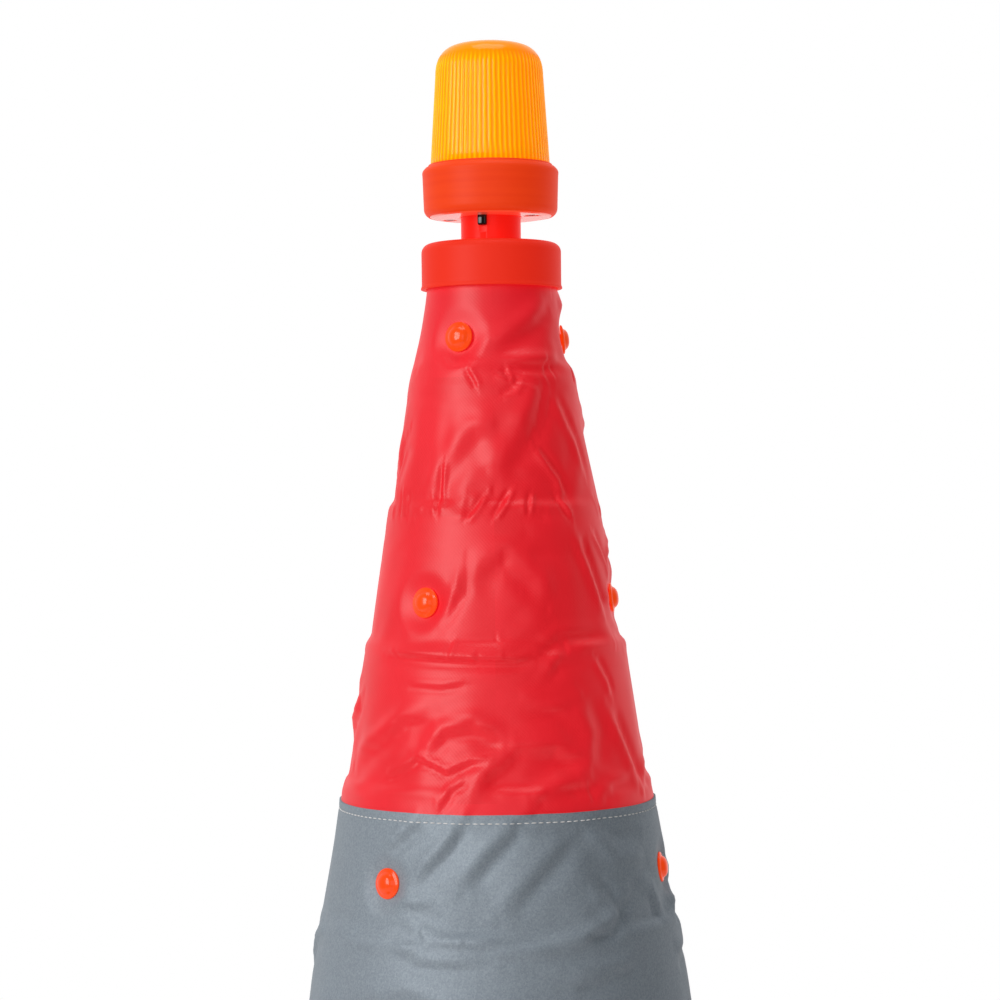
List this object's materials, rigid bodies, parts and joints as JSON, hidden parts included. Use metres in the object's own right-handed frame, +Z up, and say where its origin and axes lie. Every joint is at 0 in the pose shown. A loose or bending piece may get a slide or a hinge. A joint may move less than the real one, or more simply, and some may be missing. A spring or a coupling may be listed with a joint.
{
  "type": "collapsible traffic cone",
  "caption": "Collapsible traffic cone: fabric-covered sliding rings with a reflective band, square base, and a lift-out amber warning lamp in the cap.",
  "frame": {"origin": "centre of the square footprint, on the ground under the feet", "axes": "+Z up along the cone's axis, front of the cone faces -Y"},
  "size_m": [0.28, 0.28, 0.601],
  "materials": {
    "cap_plastic": "semi-gloss",
    "ring_plastic": "satin",
    "rivet_plastic": "gloss",
    "red_fabric": "coated nylon, slight sheen",
    "reflective_fabric": "glass-bead reflective cloth",
    "base_rubber": "matt",
    "foot_rubber": "matt",
    "steel": "plain",
    "amber_lens": "clear gloss",
    "housing_plastic": "semi-gloss",
    "neck_plastic": "semi-gloss",
    "switch_plastic": "high gloss",
    "black_plastic": "matt",
    "board": "satin",
    "led": "clear",
    "mirror": "bright",
    "battery": "gloss",
    "brass": "plain"
  },
  "bodies": {
    "base": {"base_plate": "base_rubber", "base_collar": "ring_plastic", "foot_1": "foot_rubber", "foot_2": "foot_rubber", "foot_3": "foot_rubber", "foot_4": "foot_rubber", "collar_screw_1": "steel", "collar_screw_2": "steel", "collar_screw_3": "steel", "collar_screw_4": "steel", "rivet_row4_1": "rivet_plastic", "rivet_row4_2": "rivet_plastic", "rivet_row4_3": "rivet_plastic", "cover_upper": "red_fabric", "reflective_band": "reflective_fabric", "cover_lower": "red_fabric"},
    "section_6": {"cone_ring_6": "ring_plastic"},
    "section_5": {"cone_ring_5": "ring_plastic", "rivet_row3_1": "rivet_plastic", "rivet_row3_2": "rivet_plastic", "rivet_row3_3": "rivet_plastic"},
    "section_4": {"cone_ring_4": "ring_plastic"},
    "section_3": {"cone_ring_3": "ring_plastic", "rivet_row2_1": "rivet_plastic", "rivet_row2_2": "rivet_plastic", "rivet_row2_3": "rivet_plastic"},
    "section_2": {"cone_ring_2": "ring_plastic"},
    "section_1": {"cone_ring_1": "ring_plastic", "top_cap": "cap_plastic", "rivet_row1_1": "rivet_plastic", "rivet_row1_2": "rivet_plastic", "rivet_row1_3": "rivet_plastic"},
    "lamp": {"lens": "amber_lens", "lens_gasket": "foot_rubber", "lamp_housing": "housing_plastic", "housing_base": "housing_plastic", "housing_screw_1": "steel", "housing_screw_2": "steel", "lamp_chassis": "black_plastic", "circuit_board": "board", "led_1": "led", "led_2": "led", "led_3": "led", "led_4": "led", "reflector": "mirror", "battery_tube": "neck_plastic", "battery_1": "battery", "battery_2": "battery", "battery_contact_lower": "brass", "battery_contact_upper": "brass", "battery_door": "black_plastic", "switch_body": "black_plastic"},
    "switch": {"switch_knob": "switch_plastic"}
  },
  "joints": [
    {"name": "collapse", "type": "slide", "parent": "base", "child": "section_6", "axis": [0, 0, -1], "range_m": [0, 0.066], "deforming": ["cover_upper", "reflective_band", "cover_lower"]},
    {"name": "slide_5", "type": "slide", "parent": "section_6", "child": "section_5", "axis": [0, 0, -1], "range_m": [0, 0.066]},
    {"name": "slide_4", "type": "slide", "parent": "section_5", "child": "section_4", "axis": [0, 0, -1], "range_m": [0, 0.066]},
    {"name": "slide_3", "type": "slide", "parent": "section_4", "child": "section_3", "axis": [0, 0, -1], "range_m": [0, 0.066]},
    {"name": "slide_2", "type": "slide", "parent": "section_3", "child": "section_2", "axis": [0, 0, -1], "range_m": [0, 0.066]},
    {"name": "slide_1", "type": "slide", "parent": "section_2", "child": "section_1", "axis": [0, 0, -1], "range_m": [0, 0.066]},
    {"name": "lamp_lift", "type": "slide", "parent": "section_1", "child": "lamp", "axis": [0, 0, 1], "range_m": [0, 0.075]},
    {"name": "switch_slide", "type": "slide", "parent": "lamp", "child": "switch", "axis": [0, 0, -1], "range_m": [0, 0.0035]}
  ],
  "couplings": [
    {"joint": "slide_5", "follows": "collapse", "ratio": 1},
    {"joint": "slide_4", "follows": "collapse", "ratio": 1},
    {"joint": "slide_3", "follows": "collapse", "ratio": 1},
    {"joint": "slide_2", "follows": "collapse", "ratio": 1},
    {"joint": "slide_1", "follows": "collapse", "ratio": 1}
  ]
}
